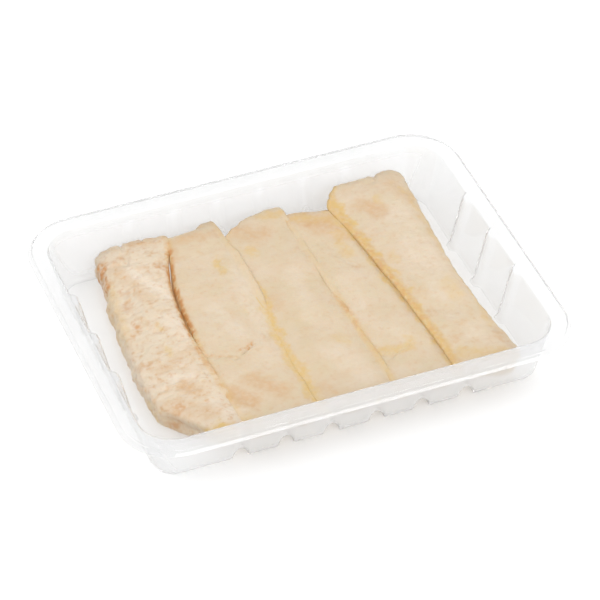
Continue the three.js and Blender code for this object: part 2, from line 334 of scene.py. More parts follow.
# Finishes: fine relief, as the noise's scale and detail, and as strength and distance of the bump
SHEET_WAVES = (160.0, 2.0)
SHEET_BUMP = (0.12, 0.0004)
FLESH_FIBRES = (300.0, 8.0)
FLESH_GRAIN = (700.0, 4.0)
FLESH_BUMP = (0.6, 0.0012)
GRAIN_HEIGHT = 0.3
FIBRE_STRETCH = (0.55, 1.4, 1.0)

# Finishes: how dark the clouds in the plastic and on the floor are, and the floor's as scale and detail
SHEET_SHADE = 0.98
FLOOR_SHADE = 0.995
FLOOR_CLOUDS = (0.5, 3.0)

# Finishes: how pale and how speckled ragged flesh is, and the tint of the light that passes flesh
RAGGED_PALENESS = 0.6
SPECK_STRENGTH = 0.35
FLESH_GLOW = (1.0, 0.97, 0.93, 1.0)

# Finishes: sockets of the colour mix node
MIX_SHARE, MIX_FIRST, MIX_SECOND, MIX_RESULT = 0, 6, 7, 2

# Stage: floor and surroundings (m), and the camera's sensor (mm) and clip range (m)
FLOOR_SIZE = 12.0
ROOM_EDGE = 0.4
SENSOR = 36.0
CLIP_RANGE = (0.05, 50)

# Stage: softboxes, as the way from the tray, distance, width and height (m), and what they look at
KEY_BOX = ((-0.75, 0.4, 0.8), 2.6, (1.6, 1.6))
FILL_BOX = ((0.1, -0.85, 0.45), 3.0, (2.4, 1.4))
LIGHT_TARGET = (0, 0, 0.01)


# Settings

SHARE = {"subtype": "FACTOR", "min": 0, "max": 1}
COLOUR = {"subtype": "COLOR", "size": 3, "min": 0, "max": 1}


class TraySheet(PropertyGroup):
    """The formed sheet: its outline, folds, channels and flutes"""

    length: FloatProperty(name="Length", description="Over the rim's lips", default=0.225, unit="LENGTH")
    width: FloatProperty(name="Width", description="Over the rim's lips", default=0.178, unit="LENGTH")
    height: FloatProperty(
        name="Height", description="From the feet to the rim", default=0.0295, unit="LENGTH")
    corner: FloatProperty(
        name="Corner radius", description="Of the outline", default=0.0267, unit="LENGTH")
    sheet: FloatProperty(
        name="Sheet", description="Thickness of the plastic", default=0.0005, unit="LENGTH")
    lip_drop: FloatProperty(
        name="Lip drop", description="How far the lip hangs below the rim",
        default=0.0032, unit="LENGTH")
    lip_flare: FloatProperty(
        name="Lip flare", description="How far the lip leans out", default=0.00165, unit="LENGTH")
    rim_inset: FloatProperty(
        name="Rim inset", description="From the outline to the wall's top",
        default=0.0099, unit="LENGTH")
    foot_inset: FloatProperty(
        name="Foot inset", description="From the outline to the wall's foot",
        default=0.016, unit="LENGTH")
    channels: IntProperty(name="Channels", description="Under the floor", default=6, min=1)
    channel_pitch: FloatProperty(
        name="Channel pitch", description="From one channel to the next", default=0.0227, unit="LENGTH")
    channel_width: FloatProperty(
        name="Channel width", description="At the foot", default=0.0084, unit="LENGTH")
    channel_height: FloatProperty(
        name="Channel height", description="From the foot to the crown", default=0.00605, unit="LENGTH")
    crown_radius: FloatProperty(
        name="Crown radius", description="Of a channel", default=0.0034, unit="LENGTH")
    long_flute: FloatProperty(
        name="Long wall flutes", description="Depth of the flutes over the channels",
        default=0.0012, unit="LENGTH")
    short_flute: FloatProperty(
        name="Short wall flutes", description="Depth of the flutes in the short walls",
        default=0.0027, unit="LENGTH")
    short_flute_pitch: FloatProperty(
        name="Short flute pitch", description="From one flute to the next", default=0.029, unit="LENGTH")
    short_flutes: IntProperty(
        name="Short wall flutes", description="In each short wall", default=3, min=1)
    tint: FloatVectorProperty(
        name="Tint", description="Of the plastic", default=(0.90, 0.905, 0.91), **COLOUR)
    haze: FloatProperty(
        name="Haze", description="Share of the light that one face scatters", default=0.2, **SHARE)
    milk: FloatVectorProperty(
        name="Milk", description="Colour of the haze", default=(0.91, 0.91, 0.91), **COLOUR)
    shade: FloatProperty(
        name="Shade", description="Share of the lamps' light that one face lets through",
        default=0.92, **SHARE)
    drawn_haze: FloatProperty(
        name="Haze of the long walls", description="Where the sheet was drawn over the channel mouths",
        default=0.26, **SHARE)
    drawn_shade: FloatProperty(
        name="Shade of the long walls", description="Where the sheet was drawn over the channel mouths",
        default=0.8, **SHARE)
    gloss_roughness: FloatProperty(
        name="Roughness", description="Of the plastic's surface", default=0.1, **SHARE)


class CodFlesh(PropertyGroup):
    """The flesh: how its surface rises and what colours it has"""

    lumps: FloatProperty(
        name="Lumps", description="Height of the broad lumps", default=0.00045, unit="LENGTH")
    flakes: FloatProperty(
        name="Flakes", description="Height of the flakes' steps", default=0.00032, unit="LENGTH")
    tatter: FloatProperty(name="Tatter", description="Of the torn ends", default=0.0019, unit="LENGTH")
    lean: FloatProperty(
        name="Lean", description="How far the front ends lean to the tray's wall",
        default=0.0018, unit="LENGTH")
    press: FloatProperty(
        name="Press", description="How far a side bulges against its neighbour",
        default=0.00045, unit="LENGTH")
    square: FloatProperty(
        name="Square edges", description="How far the top edges are filled out",
        default=0.0009, unit="LENGTH")
    sag: FloatProperty(
        name="Sag", description="Of the underside between the channels", default=0.0018, unit="LENGTH")
    light_through: FloatProperty(
        name="Light through", description="Share of the lamps' light that one face lets through",
        default=0.75, **SHARE)
    flesh: FloatVectorProperty(
        name="Flesh", description="Main colour", default=(0.548, 0.433, 0.267), **COLOUR)
    pale: FloatVectorProperty(
        name="Pale", description="Pale pinkish flesh", default=(0.585, 0.468, 0.33), **COLOUR)
    pale_spot: FloatVectorProperty(
        name="Pale spots", description="Whitish places", default=(0.68, 0.58, 0.465), **COLOUR)
    peach: FloatVectorProperty(
        name="Peach", description="Peach flush", default=(0.56, 0.38, 0.22), **COLOUR)
    ochre: FloatVectorProperty(
        # Ochre and rust also colour the faces in the seams, where they are partly painted shade of the
        # crevices
        name="Ochre", description="Yellowed flesh", default=(0.60, 0.415, 0.165), **COLOUR)
    rust: FloatVectorProperty(
        name="Rust", description="Orange-brown stains", default=(0.50, 0.235, 0.075), **COLOUR)


class StudioView(PropertyGroup):
    """The camera, the floor and the light"""

    azimuth: FloatProperty(name="Azimuth", description="Of the camera, in degrees", default=-21.7)
    elevation: FloatProperty(name="Elevation", description="Of the camera, in degrees", default=41.3)
    distance: FloatProperty(name="Distance", description="To the target", default=1.685, unit="LENGTH")
    target: FloatVectorProperty(
        name="Target", description="What the camera looks at",
        default=(-0.0027, -0.0114, 0.0295), size=3, subtype="TRANSLATION", unit="LENGTH")
    lens: FloatProperty(name="Lens", description="In millimetres", default=213.6)
    floor: FloatVectorProperty(
        name="Floor", description="Its colour", default=(0.93, 0.93, 0.93), **COLOUR)
    ambient: FloatProperty(
        name="Ambient", description="Brightness of the surroundings overhead", default=1.05, min=0)
    horizon: FloatProperty(
        name="Horizon", description="Brightness of the surroundings low down", default=0.78, min=0)
    key_power: FloatProperty(
        name="Key light", description="Power of the light behind", default=12.0, unit="POWER")
    fill_power: FloatProperty(
        name="Fill light", description="Power of the low light in front", default=38.0, unit="POWER")


# Working on a mesh as by hand


def pick_only(piece):
    """Selects one object and nothing else"""
    bpy.ops.object.select_all(action="DESELECT")
    piece.select_set(True)
    bpy.context.view_layer.objects.active = piece


@contextmanager
def editing(piece):
    """Edit mode on one object, which hands out its mesh"""
    pick_only(piece)
    bpy.ops.object.mode_set(mode="EDIT")
    try:
        yield bmesh.from_edit_mesh(piece.data)
    finally:
        bpy.ops.object.mode_set(mode="OBJECT")


def pick_faces(piece, mesh, wanted):
    """Selects the faces whose middle passes a test"""
    bpy.ops.mesh.select_all(action="DESELECT")
    for face in mesh.faces:
        if wanted(face.calc_center_median()):
            face.select_set(True)
    bmesh.update_edit_mesh(piece.data)


def apply_modifier(piece, kind, **settings):
    """Adds a modifier with these settings and applies it"""
    pick_only(piece)
    bpy.ops.object.modifier_add(type=kind)
    modifier = piece.modifiers[-1]
    for name, value in settings.items():
        setattr(modifier, name, value)
    bpy.ops.object.modifier_apply(modifier=modifier.name)


def settle(piece, name, node, material):
    """Names a finished piece and puts it in the place of its CAD node"""
    piece.name = name
    piece.data.name = name
    piece.data.materials.clear()
    piece.data.materials.append(material)
    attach(piece, "root")
    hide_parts(node)


def ease(value, start, end):
    """A smooth step for one number, from 0 at start to 1 at end"""
    share = min(max((value - start) / (end - start), 0.0), 1.0)
    return share * share * (3 - 2 * share)


# Tray


def wall_lean(tray):
    """How far the wall leans out for each metre that it rises"""
    return (tray.foot_inset - tray.rim_inset + tray.sheet) / tray.height


def wall_inset(tray, z):
    """How far in from the outline the wall's underside stands at a height"""
    return tray.foot_inset - wall_lean(tray) * z


def fold_points(inset, z, radius, start, end, steps):
    """A round fold of the profile, as (inset, z) pairs"""
    angles = [start + (end - start) * step / steps for step in range(steps + 1)]
    return [(inset - radius * math.cos(a), z + radius * math.sin(a)) for a in angles]


def tray_profile(tray):
    """The sheet's underside from the lip's edge to the floor, as (inset, z) pairs"""
    tilt = math.atan(wall_lean(tray))
    quarter = math.pi / 2

    lip_z = tray.height - tray.lip_drop
    lip_fold_z = tray.height - tray.sheet - LIP_FOLD_RADIUS
    lip_fold_inset = tray.lip_flare + tray.sheet + LIP_FOLD_RADIUS
    lip = [(tray.sheet, lip_z)]
    lip += fold_points(lip_fold_inset, lip_fold_z, LIP_FOLD_RADIUS, 0, quarter, LIP_FOLD_STEPS)

    rim_z = tray.height - tray.sheet
    rim = [(inset, rim_z) for inset in RIM_ROW_INSETS]
    fold_z = rim_z - RIM_FOLD_RADIUS
    touch_z = fold_z + RIM_FOLD_RADIUS * math.sin(tilt)
    fold_inset = wall_inset(tray, touch_z) - RIM_FOLD_RADIUS * math.cos(tilt)
    fold = fold_points(fold_inset, fold_z, RIM_FOLD_RADIUS, quarter, math.pi - tilt, RIM_FOLD_STEPS)

    wall = [(wall_inset(tray, z), z) for z in WALL_ROW_HEIGHTS]
    foot_touch_z = FOOT_RADIUS * (1 - math.sin(tilt))
    foot_inset = wall_inset(tray, foot_touch_z) + FOOT_RADIUS * math.cos(tilt)
    foot = fold_points(foot_inset, FOOT_RADIUS, FOOT_RADIUS, -tilt, -quarter, FOOT_STEPS)

    floor = []
    inset = foot_inset
    for step in FLOOR_ROW_STEPS:
        inset += step
        floor.append((inset, 0.0))
    return lip + rim + fold + wall + foot + floor, foot_inset


def channel_section(tray):
    """Half of a channel's section from foot to crown, as (distance from its middle, height) pairs"""
    half = tray.channel_width / 2
    spring_z = tray.channel_height - tray.crown_radius
    slope = math.atan2(spring_z, half - tray.crown_radius)
    reach = CHANNEL_FILLET * math.tan(slope / 2)
    section = []
    for step in range(FILLET_STEPS + 1):
        turn = slope * step / FILLET_STEPS
        distance = half + reach - CHANNEL_FILLET * math.sin(turn)
        section.append((distance, CHANNEL_FILLET * (1 - math.cos(turn))))
    start = section[-1]
    for step in range(1, SLOPE_STEPS + 1):
        share = step / SLOPE_STEPS
        section.append((
            start[0] + (tray.crown_radius - start[0]) * share,
            start[1] + (spring_z - start[1]) * share,
        ))
    for angle in CROWN_ANGLES:
        turn = math.radians(angle)
        height = spring_z + tray.crown_radius * math.sin(turn)
        section.append((tray.crown_radius * math.cos(turn), height))
    return section


def places(count, pitch):
    """Evenly spaced places about the middle"""
    return [(index - (count - 1) / 2) * pitch for index in range(count)]


def places_of_cuts(middles, distances):
    """Where the sheet is cut for shapes at these middles, with rows at these distances to both sides"""
    return sorted({
        round(middle + side * distance, PLACE_DIGITS)
        for middle in middles for distance in distances for side in (-1, 1)
    })


def cut_columns(columns):
    """Cuts the whole sheet across at each place along it"""
    for x in columns:
        bpy.ops.mesh.select_all(action="SELECT")
        bpy.ops.mesh.bisect(plane_co=(x, 0, 0), plane_no=(1, 0, 0))


def cut_rows(piece, mesh, rows, ring_end):
    """Cuts the short walls and the floor beside them at each place across the sheet"""
    for y in rows:
        pick_faces(piece, mesh, lambda middle: abs(middle.x) > ring_end)
        bpy.ops.mesh.bisect(plane_co=(0, y, 0), plane_no=(0, 1, 0))


def form_sheet(tray, profile):
    """The bare sheet: a flat outline, drawn in step by step along the profile"""
    first_inset, first_z = profile[0]
    bpy.ops.object.select_all(action="DESELECT")
    bpy.ops.mesh.primitive_plane_add(size=1, location=(0, 0, first_z))
    piece = bpy.context.active_object
    piece.scale = (tray.length - 2 * first_inset, tray.width - 2 * first_inset, 1)
    bpy.ops.object.transform_apply(location=True, rotation=True, scale=True)
    with editing(piece):
        bpy.ops.mesh.select_all(action="SELECT")
        bpy.ops.mesh.bevel(
            offset=tray.corner - first_inset, offset_type="OFFSET", segments=CORNER_SEGMENTS,
            profile=0.5, affect="VERTICES")
        bpy.ops.mesh.select_all(action="SELECT")
        for (inset, z), (next_inset, next_z) in zip(profile, profile[1:]):
            bpy.ops.mesh.inset(thickness=next_inset - inset, depth=next_z - z, use_even_offset=True)
    return piece


def channel_lift(section, distance):
    """How high the sheet stands over a channel at this distance from its middle"""
    if distance >= section[0][0]:
        return 0.0
    for (outer, low), (inner, high) in zip(section, section[1:]):
        if inner <= distance:
            return low + (high - low) * (outer - distance) / (outer - inner)
    return section[-1][1]


def raise_channel(tray, section, foot_end, inset, z, distance):
    """Where a point of the long wall or the floor goes over a channel"""
    lean = wall_lean(tray)
    lift = channel_lift(section, distance)
    tight = 1 + (MOUTH_TIGHTNESS - 1) * lift / tray.channel_height
    if z < FOOT_TOP:
        new_z = z * tight + lift
        if inset <= foot_end + TOUCH:
            inset = tray.foot_inset + (inset - tray.foot_inset) * tight - lean * lift
    else:
        share = (z - FOOT_RADIUS) / (LONG_FLUTE_TOP - FOOT_RADIUS)
        low = FOOT_RADIUS * tight + lift
        new_z = z if share >= 1 else low + (LONG_FLUTE_TOP - low) * share
        inset -= lean * (new_z - z)
    width = section[0][0]
    bulge = math.cos(math.pi / 2 * min(distance / width, 1)) ** 2
    fade = 1 - ease(new_z, LONG_FLUTE_TOP - LONG_FLUTE_SHOULDER, LONG_FLUTE_TOP)
    past_foot = 1 - ease(inset, foot_end, foot_end + sum(FLOOR_ROW_STEPS))
    return inset + tray.long_flute * bulge * fade * past_foot, new_z


def press_channels(tray, mesh, section, foot_end):
    """Raises the sheet over each channel, with a flute in the wall above its mouth"""
    width = section[0][0]
    wall_top = tray.rim_inset - RIM_FOLD_REACH
    for x in places(tray.channels, tray.channel_pitch):
        for vertex in mesh.verts:
            distance = abs(vertex.co.x - x)
            inset = tray.width / 2 - abs(vertex.co.y)
            if distance >= width or inset < wall_top:
                continue
            new_inset, new_z = raise_channel(tray, section, foot_end, inset, vertex.co.z, distance)
            vertex.co.y = math.copysign(tray.width / 2 - new_inset, vertex.co.y)
            vertex.co.z = new_z


def press_short_flutes(tray, mesh, foot_end):
    """Draws the short walls in at each flute"""
    rim_edge = RIM_ROW_INSETS[-1]
    for y in places(tray.short_flutes, tray.short_flute_pitch):
        for vertex in mesh.verts:
            distance = abs(vertex.co.y - y)
            inset = tray.length / 2 - abs(vertex.co.x)
            if distance >= SHORT_FLUTE_ROWS[-1] or inset <= rim_edge + TOUCH:
                continue
            bulge = 1 - ease(distance, SHORT_FLUTE_FLAT, SHORT_FLUTE_ROWS[-1])
            past_foot = 1 - ease(inset, foot_end, foot_end + sum(FLOOR_ROW_STEPS))
            vertex.co.x -= math.copysign(tray.short_flute * bulge * past_foot, vertex.co.x)


def build_tray(tray, material):
    """The whole tray: the drawn sheet with its channels and flutes, given its thickness"""
    profile, foot_end = tray_profile(tray)
    section = channel_section(tray)
    piece = form_sheet(tray, profile)
    channel_distances = [distance for distance, _ in section]
    columns = places_of_cuts(places(tray.channels, tray.channel_pitch), channel_distances)
    rows = places_of_cuts(places(tray.short_flutes, tray.short_flute_pitch), SHORT_FLUTE_ROWS)
    ring_end = tray.length / 2 - foot_end - sum(FLOOR_ROW_STEPS)
    with editing(piece) as mesh:
        cut_columns(columns)
        cut_rows(piece, mesh, rows, ring_end)
        press_channels(tray, mesh, section, foot_end)
        press_short_flutes(tray, mesh, foot_end)
        bmesh.update_edit_mesh(piece.data)
    apply_modifier(piece, "SOLIDIFY", thickness=tray.sheet, offset=1.0, use_even_offset=True)
    pick_only(piece)
    bpy.ops.object.shade_smooth_by_angle(angle=math.radians(SMOOTH_ANGLE))
    settle(piece, "clear_tray", "tray", material)


# Fish


def wear_corner(piece):
    """Rounds the worn front corner off"""
    points, _ = read_points(piece)
    group = piece.vertex_groups.new(name="worn_corner")
    for index, share in enumerate(near_line(points, *WORN_CORNER)):
        if share > 0:
            group.add([index], share, "REPLACE")
    apply_modifier(
        piece, "SMOOTH", factor=SMOOTH_FACTOR, iterations=CORNER_ROUNDS, vertex_group=group.name)
    piece.vertex_groups.clear()


def strip_base(number):
    """A fine even mesh in the shape of a strip's CAD node"""
    node = frame["nodes"][f"cod_strip_{number}"]
    pick_only(node)
    bpy.ops.object.duplicate(linked=False)
    piece = bpy.context.active_object
    piece.parent = None
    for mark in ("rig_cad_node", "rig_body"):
        if mark in piece:
            del piece[mark]
    with editing(piece):
        bpy.ops.mesh.select_all(action="SELECT")
        bpy.ops.mesh.remove_doubles(threshold=TOUCH)
    apply_modifier(piece, "REMESH", mode="VOXEL", voxel_size=VOXEL, use_smooth_shade=True)
    apply_modifier(piece, "SMOOTH", factor=SMOOTH_FACTOR, iterations=SMOOTH_ROUNDS)
    if number == 1:
        wear_corner(piece)
    return piece


def read_points(piece):
    """The mesh's points and their normals as arrays"""
    count = len(piece.data.vertices)
    points = np.empty(count * 3)
    normals = np.empty(count * 3)
    piece.data.vertices.foreach_get("co", points)
    piece.data.vertex_normals.foreach_get("vector", normals)
    return points.reshape(-1, 3), normals.reshape(-1, 3)


def write_points(piece, points):
    """Moves the mesh's points to these places"""
    piece.data.vertices.foreach_set("co", points.ravel())
    piece.data.update()


def noise_field(points, size, seed, stretch=(1, 1, 1)):
    """Smooth noise from -1 to 1 at each point, with features of about this size"""
    scaled = points * np.array(stretch) / size + seed * SEED_OFFSET
    return np.array([noise.noise(Vector(p)) for p in scaled])


def smooth_share(values, start, end):
    """A smooth step for a whole array, from 0 at start to 1 at end"""
    share = np.clip((values - start) / (end - start), 0, 1)
    return share * share * (3 - 2 * share)


def near_line(points, x, y, end_x, end_y, half_width):
    """1 along a line seen from above, which fades past its half width, in millimetres"""
    flat = points[:, :2] / MM
    start = np.array([x, y], dtype=float)
    line = np.array([end_x, end_y], dtype=float) - start
    along = np.clip(((flat - start) @ line) / (line @ line), 0, 1)
    distance = np.linalg.norm(flat - start - along[:, None] * line, axis=1)
    return 1 - smooth_share(distance, half_width * LINE_FADE[0], half_width * LINE_FADE[1])


def warped(points, seed, reach):
    """The points moved about sideways, so that what follows a line wanders"""
    moved = points.copy()
    coarse, fine = WANDER_SIZES
    for axis in (0, 1):
        sideways = noise_field(points, coarse, seed + axis)
        sideways += FINE_WANDER * noise_field(points, fine, seed + axis)
        moved[:, axis] += reach * sideways
    return moved


def seam_share(points, normals, number, column):
    """What the seams beside a strip have in this column, on the faces towards the neighbours"""
    share = np.zeros(len(points))
    for seam, side in ((number - 1, 1), (number - 2, -1)):
        if 0 <= seam < len(SEAMS):
            rows = sorted(SEAMS[seam])
            value = np.interp(points[:, 1] / MM, [row[0] for row in rows], [row[column] for row in rows])
            share += value * smooth_share(side * normals[:, 0], *TO_NEIGHBOUR)
    return share


def terraces(points, seed):
    """Low steps with ragged edges, as where flakes of flesh lie over each other"""
    coarse, fine = FLAKE_SIZES
    level = FLAKE_LEVELS[0] * noise_field(points, coarse, seed, FLAKE_STRETCH)
    level += FLAKE_LEVELS[1] * noise_field(points, fine, seed + 3)
    whole = np.floor(level)
    return whole + smooth_share(level - whole, FLAKE_EDGE, 1.0) - level * FLAKE_FALL


def lump_rise(cod, points, up, ragged, seed):
    """Broad lumps, with finer ones where a strip is ragged"""
    broad, middling, fine = LUMP_SIZES
    lumps = noise_field(points, broad, seed)
    middling_share = MIDDLING_LUMPS + RAGGED_MIDDLING_LUMPS * ragged
    lumps += middling_share * noise_field(points, middling, seed + 1)
    lumps += RAGGED_FINE_LUMPS * ragged * noise_field(points, fine, seed + 2)
    return cod.lumps * lumps * (SIDE_LUMPS + (1 - SIDE_LUMPS) * up)


def edge_rise(cod, normals, number, facing):
    """Filled-out top edges, fullest by a neighbour, and left round at the first strip's free side"""
    edge = np.sin(np.pi * np.clip(normals[:, 2], 0, 1)) ** EDGE_SHARPNESS
    if number == 1:
        edge *= 1 - smooth_share(-normals[:, 0], *LEFTWARD)
    return cod.square * edge * (1 + PRESSED_EDGE * facing)


def tatter_rise(cod, points, normals, number, seed):
    """Tatters at the ends, and along the outer strips' free sides"""
    free_side = smooth_share(np.abs(normals[:, 1]), *TO_FREE_SIDE)
    if number in (1, len(RAGGED)):
        outward = -1 if number == 1 else 1
        free_side = np.maximum(free_side, smooth_share(outward * normals[:, 0], *TO_FREE_SIDE))
    coarse, fine = TATTER_SIZES
    tatter = noise_field(points, coarse, seed + 4, TATTER_STRETCH)
    tatter += FINE_TATTER * noise_field(points, fine, seed + 5)
    upright = 1 - np.abs(normals[:, 2])
    strength = LEAST_TATTER + (1 - LEAST_TATTER) * RAGGED[number - 1]
    return cod.tatter * tatter * upright * free_side * strength


def dent_depth(points, number, seed):
    """How deep a strip's dents are, along lines that wander"""
    wandering = warped(points, seed, DENT_WANDER)
    total = np.zeros(len(points))
    for strip, *line, depth in DENTS:
        if strip == number:
            total += depth * MM * near_line(wandering, *line)
    return total


def notch_depth(points, number):
    """How far a strip's back end is torn in"""
    near_end = smooth_share(points[:, 1] - points[:, 1].max(), *NOTCH_REACH)
    total = np.zeros(len(points))
    for strip, x, half_width, depth in NOTCHES:
        if strip == number:
            beside = 1 - smooth_share(np.abs(points[:, 0] / MM - x), 0, half_width)
            total += depth * MM * beside * near_end
    return total


def sag_depth(tray, cod, points):
    """How far the underside hangs between the crowns of the tray's channels"""
    crowns = np.array(places(tray.channels, tray.channel_pitch))
    to_crown = np.abs(points[:, :1] - crowns).min(axis=1)
    hanging = np.where(np.abs(points[:, 0]) < crowns[-1], smooth_share(to_crown, *HANGING), 0)
    return cod.sag * hanging * (1 - smooth_share(points[:, 2], *SAG_HEIGHTS))


def shape_flesh(number, tray, cod, points, normals):
    """Where a strip's points go for its lumps, flakes, dents, torn ends, lean and sag"""
    seed = number * SHAPE_SEED
    ragged = RAGGED[number - 1]
    up = smooth_share(normals[:, 2], *UPWARD)
    facing = seam_share(points, normals, number, SEAM_CLOSED)
    rise = lump_rise(cod, points, up, ragged, seed)
    rise += edge_rise(cod, normals, number, facing)
    rise += cod.flakes * ragged * terraces(points, seed) * up
    rise += tatter_rise(cod, points, normals, number, seed)
    rise -= dent_depth(points, number, seed) * up
    if number == 1:
        rise *= 1 - near_line(points, *WORN_CORNER)
    shift = normals * rise[:, None]
    shift[:, 0] += cod.press * facing * np.sign(normals[:, 0])
    leaning = smooth_share(-points[:, 1], *FRONT_END) * smooth_share(points[:, 2], *LEANING_HEIGHTS)
    shift[:, 1] -= notch_depth(points, number) + cod.lean * leaning
    shift[:, 2] -= sag_depth(tray, cod, points)
    return points + shift


def tint_flesh(piece, number, points, normals):
    """Writes the tints of the marks and seams to the mesh, and how flaky the strip is; the seams' ochre
    and rust are partly painted shade in the crevices
    """
    moved = warped(points, number * STAIN_SEED, STAIN_WANDER)
    shares = np.zeros((len(points), len(TINTS)))
    for tint, marks in MARKS[number - 1].items():
        column = TINTS.index(tint)
        for *line, strength in marks:
            shares[:, column] = np.maximum(shares[:, column], strength * near_line(moved, *line))
    # The seams' ochre and rust on the faces towards a neighbour: partly yellowed and stained flesh,
    # partly painted shade in the crevice
    for tint, column in (("ochre", SEAM_OCHRE_AND_SHADE), ("rust", SEAM_RUST_AND_SHADE)):
        index = TINTS.index(tint)
        shares[:, index] = np.maximum(shares[:, index], seam_share(points, normals, number, column))
    stain_and_seam_shade = piece.data.color_attributes.new(name="stain_and_seam_shade", type="FLOAT_COLOR", domain="POINT")
    stain_and_seam_shade.data.foreach_set("color", shares.ravel())
    flaky = piece.data.attributes.new(name="flaky", type="FLOAT", domain="POINT")
    flaky.data.foreach_set("value", np.full(len(points), RAGGED[number - 1]))


def build_strip(number, tray, cod, material):
    """One strip: its CAD node's shape, with the flesh's relief and stains"""
    piece = strip_base(number)
    points, normals = read_points(piece)
    write_points(piece, shape_flesh(number, tray, cod, points, normals))
    tint_flesh(piece, number, points, normals)
    settle(piece, f"salt_cod_{number}", f"cod_strip_{number}", material)


# Finishes


class Finish:
    """A material under construction: a shader with nodes in front of its sockets"""

    def __init__(self, name):
        self.material = bpy.data.materials.new(name)
        self.material.use_nodes = True
        self.tree = self.material.node_tree
        self.shader = self.tree.nodes["Principled BSDF"]

    def set(self, **sockets):
        """Sets the shader's own sockets"""
        for name, value in sockets.items():
            socket = name.replace("_", " ").title().replace("Ior", "IOR")
            self.shader.inputs[socket].default_value = value

    def node(self, kind, inputs=(), **settings):
        """Adds a node with these settings, and feeds its sockets"""
        made = self.tree.nodes.new(kind)
        for name, value in settings.items():
            setattr(made, name, value)
        for socket, value in dict(inputs).items():
            self.feed(made.inputs[socket], value)
        return made

    def feed(self, socket, value):
        """Links a socket to another one's output, or sets its value"""
        if isinstance(value, bpy.types.NodeSocket):
            self.tree.links.new(value, socket)
        else:
            socket.default_value = value

    def place(self):
        """Where a point of the surface lies"""
        return self.node("ShaderNodeTexCoord").outputs["Object"]

    def noise(self, scale, detail, place=None):
        """Soft noise over the surface"""
        made = self.node("ShaderNodeTexNoise", {
            "Vector": place or self.place(), "Scale": scale, "Detail": detail})
        return made.outputs["Fac"]

    def spread(self, value, low, high, least=0.0, most=1.0):
        """A value from low to high, brought to between least and most"""
        made = self.node("ShaderNodeMapRange", {
            "Value": value, "From Min": low, "From Max": high, "To Min": least, "To Max": most})
        return made.outputs["Result"]

    def pattern(self, kind, place=None):
        """The noise that a Pattern tells of"""
        made = self.noise(kind.scale, kind.detail, place)
        return self.spread(made, kind.low, kind.high, kind.least, kind.most)

    def mix(self, share, first, second):
        """A mix of two colours"""
        made = self.node("ShaderNodeMix", data_type="RGBA")
        self.feed(made.inputs[MIX_SHARE], share)
        self.feed(made.inputs[MIX_FIRST], first)
        self.feed(made.inputs[MIX_SECOND], second)
        return made.outputs[MIX_RESULT]

    def product(self, first, second):
        """Two shares multiplied"""
        made = self.node("ShaderNodeMath", {0: first, 1: second}, operation="MULTIPLY", use_clamp=True)
        return made.outputs["Value"]

    def bump(self, height, strength, distance):
        """Fine relief from a height between 0 and 1"""
        made = self.node("ShaderNodeBump", {
            "Height": height, "Strength": strength, "Distance": distance})
        self.feed(self.shader.inputs["Normal"], made.outputs["Normal"])

    def mixed(self, share, first, second):
        """A mix of two shaders"""
        return self.node("ShaderNodeMixShader", {0: share, 1: first, 2: second}).outputs["Shader"]

    def thin_sheet(self, tray):
        """A clear sheet with a little haze, more of it in the drawn walls over the channel mouths"""
        split = self.node("ShaderNodeSeparateXYZ", {"Vector": self.place()}).outputs
        from_middle = self.node("ShaderNodeMath", {0: split["Y"]}, operation="ABSOLUTE").outputs[0]
        drawn = self.product(self.spread(from_middle, *LONG_WALL), self.spread(split["Z"], *WALL_TOP))
        haze = self.spread(drawn, 0.0, 1.0, tray.haze, tray.drawn_haze)
        forward = self.spread(drawn, 0.0, 1.0, *FORWARD_HAZE)
        let_through = self.mix(drawn, colour([tray.shade] * 3), colour([tray.drawn_shade] * 3))
        milk = colour(tray.milk)
        front = self.node("ShaderNodeBsdfDiffuse", {"Color": milk}).outputs["BSDF"]
        back = self.node("ShaderNodeBsdfTranslucent", {"Color": milk}).outputs["BSDF"]
        body = self.mixed(haze, self.shader.outputs["BSDF"], self.mixed(forward, front, back))
        self.let_light_through(body, let_through)

    def let_light_through(self, body, tint, share=1.0):
        """Lets this share of the light of lamps and surroundings pass, where the body would stop it"""
        rays = self.node("ShaderNodeLightPath").outputs
        passing = self.node("ShaderNodeBsdfTransparent", {"Color": tint}).outputs["BSDF"]
        if share < 1:
            passing = self.mixed(share, body, passing)
        surface = self.mixed(rays["Is Shadow Ray"], body, passing)
        surface = self.mixed(rays["Is Diffuse Ray"], surface, passing)
        self.feed(self.tree.nodes["Material Output"].inputs["Surface"], surface)


def colour(value, shade=1.0):
    """A setting's colour as a node's colour"""
    return (*(part * shade for part in value[:3]), 1.0)


def plastic_finish(tray):
    """Clear, smooth, slightly hazy plastic"""
    finish = Finish("clear_thin_plastic")
    finish.set(roughness=tray.gloss_roughness, ior=1.46, transmission_weight=1.0)
    tint = finish.mix(finish.pattern(SHEET_CLOUDS), colour(tray.tint), colour(tray.tint, SHEET_SHADE))
    finish.feed(finish.shader.inputs["Base Color"], tint)
    finish.bump(finish.noise(*SHEET_WAVES), *SHEET_BUMP)
    finish.thin_sheet(tray)
    return finish.material


